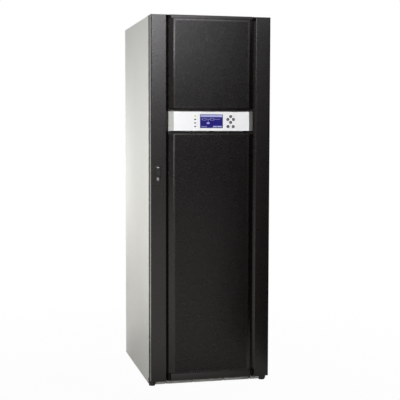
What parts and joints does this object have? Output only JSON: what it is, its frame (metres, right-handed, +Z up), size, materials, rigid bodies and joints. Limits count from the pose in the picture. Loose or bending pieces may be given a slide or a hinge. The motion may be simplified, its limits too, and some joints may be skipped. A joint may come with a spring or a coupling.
{
  "type": "online uninterruptible power supply cabinet",
  "caption": "Tall free-standing power supply cabinet with light grey panels and a hinged graphite door of perforated panels, a silver control strip with display and keys, and a turn latch.",
  "frame": {"origin": "bottom centre of the whole cabinet, on the floor", "axes": "+Z up, -Y towards the front, where the door is, and +X to the right seen from the front"},
  "size_m": [0.618, 0.8328, 1.876],
  "materials": {
    "panel_grey": "fine semi-gloss light grey powder coat",
    "frame_grey": "satin dark grey paint",
    "skirt_grey": "satin mid grey paint",
    "door_graphite": "fine semi-gloss graphite powder coat",
    "filter_black": "open black filter foam",
    "fascia_silver": "satin silver white",
    "housing_dark": "moulded dark grey",
    "display_screen": "clear window over a blue display",
    "lamp_lens": "clear lens",
    "key_grey": "soft moulded grey",
    "latch_black": "moulded black",
    "lock_chrome": "polished plating",
    "hinge_steel": "plain zinc plated steel",
    "shield_zinc": "plain zinc coated sheet",
    "foot_black": "moulded black",
    "equipment_dark": "plain dark block"
  },
  "bodies": {
    "cabinet": {"corner_feet": "foot_black", "base_side_rails": "frame_grey", "base_cross_rails": "frame_grey", "front_skirt": "skirt_grey", "rear_skirt": "skirt_grey", "front_posts": "frame_grey", "rear_posts": "frame_grey", "top_side_beams": "frame_grey", "top_cross_beams": "frame_grey", "left_side_panel": "panel_grey", "right_side_panel": "panel_grey", "top_panel": "panel_grey", "rear_lower_panel": "panel_grey", "rear_exhaust_grille": "panel_grey", "rear_upper_panel": "panel_grey", "equipment_block": "equipment_dark", "lower_shield": "shield_zinc", "middle_shield": "shield_zinc", "upper_shield": "shield_zinc", "hinge_arms": "hinge_steel"},
    "door": {"left_stile": "door_graphite", "right_stile": "door_graphite", "hinge_leaves": "hinge_steel", "door_uprights": "door_graphite", "door_crossbars": "door_graphite", "top_bar": "door_graphite", "bottom_bar": "door_graphite", "lower_mesh_panel": "door_graphite", "upper_mesh_panel": "door_graphite", "lower_filter": "filter_black", "upper_filter": "filter_black", "control_fascia": "fascia_silver", "control_housing": "housing_dark", "display_window": "display_screen", "status_lamps": "lamp_lens", "keypad_buttons": "key_grey", "latch_plate": "latch_black", "lock_cylinder": "lock_chrome"},
    "latch": {"latch_lever": "latch_black", "latch_cap": "lock_chrome", "latch_spindle": "hinge_steel"}
  },
  "joints": [
    {"name": "door_hinge", "type": "hinge", "parent": "cabinet", "child": "door", "pos_m": [0.3, -0.3676, 0.955], "axis": [0, 0, 1], "range_deg": [0, 120]},
    {"name": "latch_turn", "type": "hinge", "parent": "door", "child": "latch", "pos_m": [-0.2755, -0.3976, 1.117], "axis": [0, -1, 0], "range_deg": [0, 90]}
  ]
}
